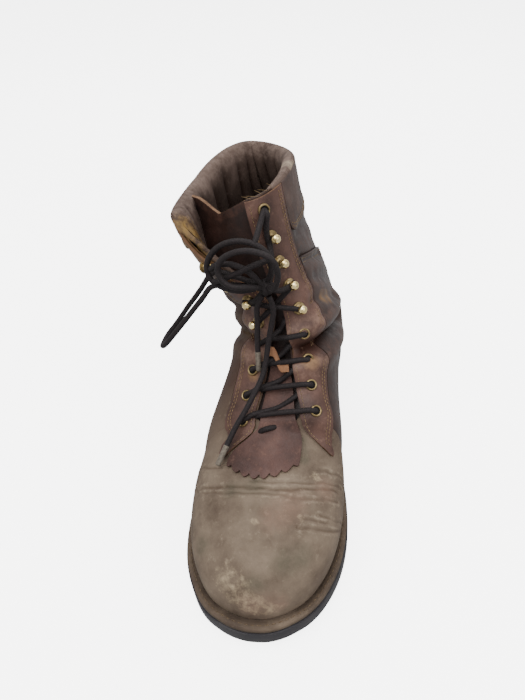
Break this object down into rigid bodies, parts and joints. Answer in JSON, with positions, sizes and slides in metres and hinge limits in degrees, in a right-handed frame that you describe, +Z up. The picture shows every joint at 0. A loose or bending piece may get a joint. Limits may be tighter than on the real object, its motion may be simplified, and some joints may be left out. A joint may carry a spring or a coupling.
{
  "type": "logger boot",
  "caption": "Laced ankle-high leather work boot for the right foot, with a slack open shaft, speed hooks, fringed false tongue, stitched welt and a raised heel.",
  "frame": {"origin": "on the floor under the middle of the boot's length and width, laces left out", "axes": "+Z up, toe towards -Y, inner side of the foot towards +X"},
  "size_m": [0.1273, 0.2994, 0.2128],
  "materials": {
    "vamp_leather": "worn taupe brown",
    "dark_leather": "dark brown",
    "red_leather": "reddish brown",
    "welt_leather": "grey brown",
    "insole_board": "bare",
    "black_rubber": "matt black",
    "antique_brass": "antique",
    "lace_cord": "dark brown cord",
    "webbing": "black webbing"
  },
  "bodies": {
    "root": {"outsole": "black_rubber", "heel": "black_rubber", "welt": "welt_leather", "insole": "insole_board", "upper": "vamp_leather", "quarter_inner": "dark_leather", "quarter_outer": "dark_leather", "facing_inner": "red_leather", "facing_outer": "red_leather", "cuff": "dark_leather", "tongue": "red_leather", "kiltie": "red_leather", "pull_loop": "webbing", "eyelet_inner_1": "antique_brass", "eyelet_inner_2": "antique_brass", "eyelet_inner_3": "antique_brass", "eyelet_inner_4": "antique_brass", "eyelet_inner_9": "antique_brass", "eyelet_outer_1": "antique_brass", "eyelet_outer_2": "antique_brass", "eyelet_outer_3": "antique_brass", "eyelet_outer_4": "antique_brass", "eyelet_outer_9": "antique_brass", "hook_inner_5": "antique_brass", "hook_inner_6": "antique_brass", "hook_inner_7": "antique_brass", "hook_inner_8": "antique_brass", "hook_outer_5": "antique_brass", "hook_outer_6": "antique_brass", "hook_outer_7": "antique_brass", "hook_outer_8": "antique_brass", "lace_bars": "lace_cord", "lace_knot": "lace_cord", "lace_upper_loop": "lace_cord", "lace_inner_loop": "lace_cord", "lace_side_loop": "lace_cord", "lace_long_end": "lace_cord", "lace_short_end": "lace_cord"}
  },
  "joints": []
}
